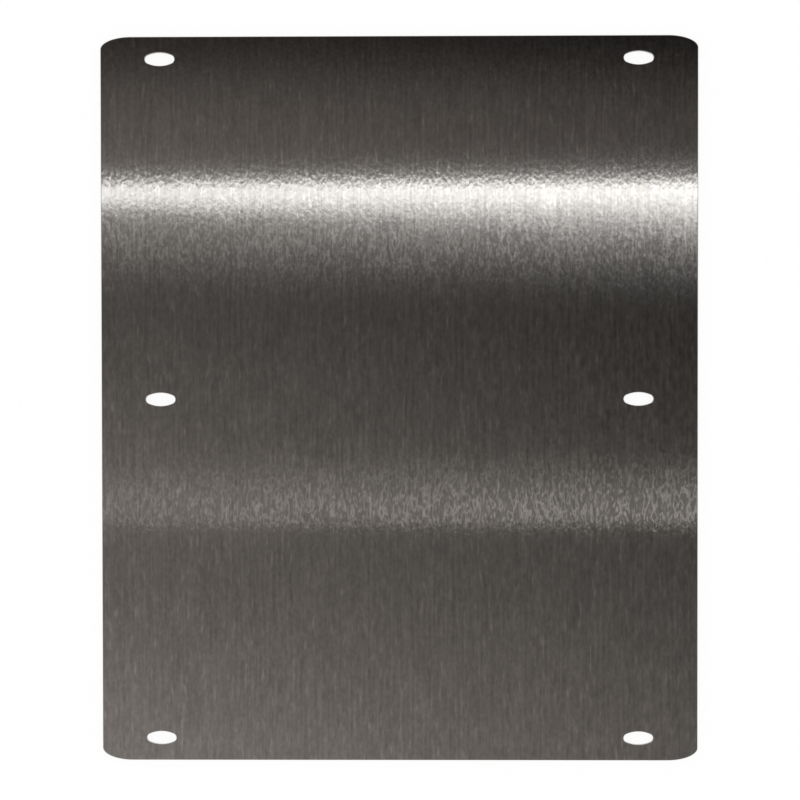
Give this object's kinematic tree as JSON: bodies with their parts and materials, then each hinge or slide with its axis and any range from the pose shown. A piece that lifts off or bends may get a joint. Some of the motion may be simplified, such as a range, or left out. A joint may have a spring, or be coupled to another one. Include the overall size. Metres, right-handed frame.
{
  "type": "rectangular cover plate",
  "caption": "Flat rectangular cover plate of brushed steel sheet, with eased corners and oval fixing holes down both long sides.",
  "frame": {"origin": "centre of the plate, on its back face", "axes": "+X across the plate, +Y along the plate and its brushed grain, +Z out of the brushed front face"},
  "size_m": [0.247, 0.3, 0.0015],
  "materials": {
    "brushed_sheet": "stainless sheet, front face brushed along the plate's length"
  },
  "bodies": {
    "root": {"cover_plate": "brushed_sheet"}
  },
  "joints": []
}
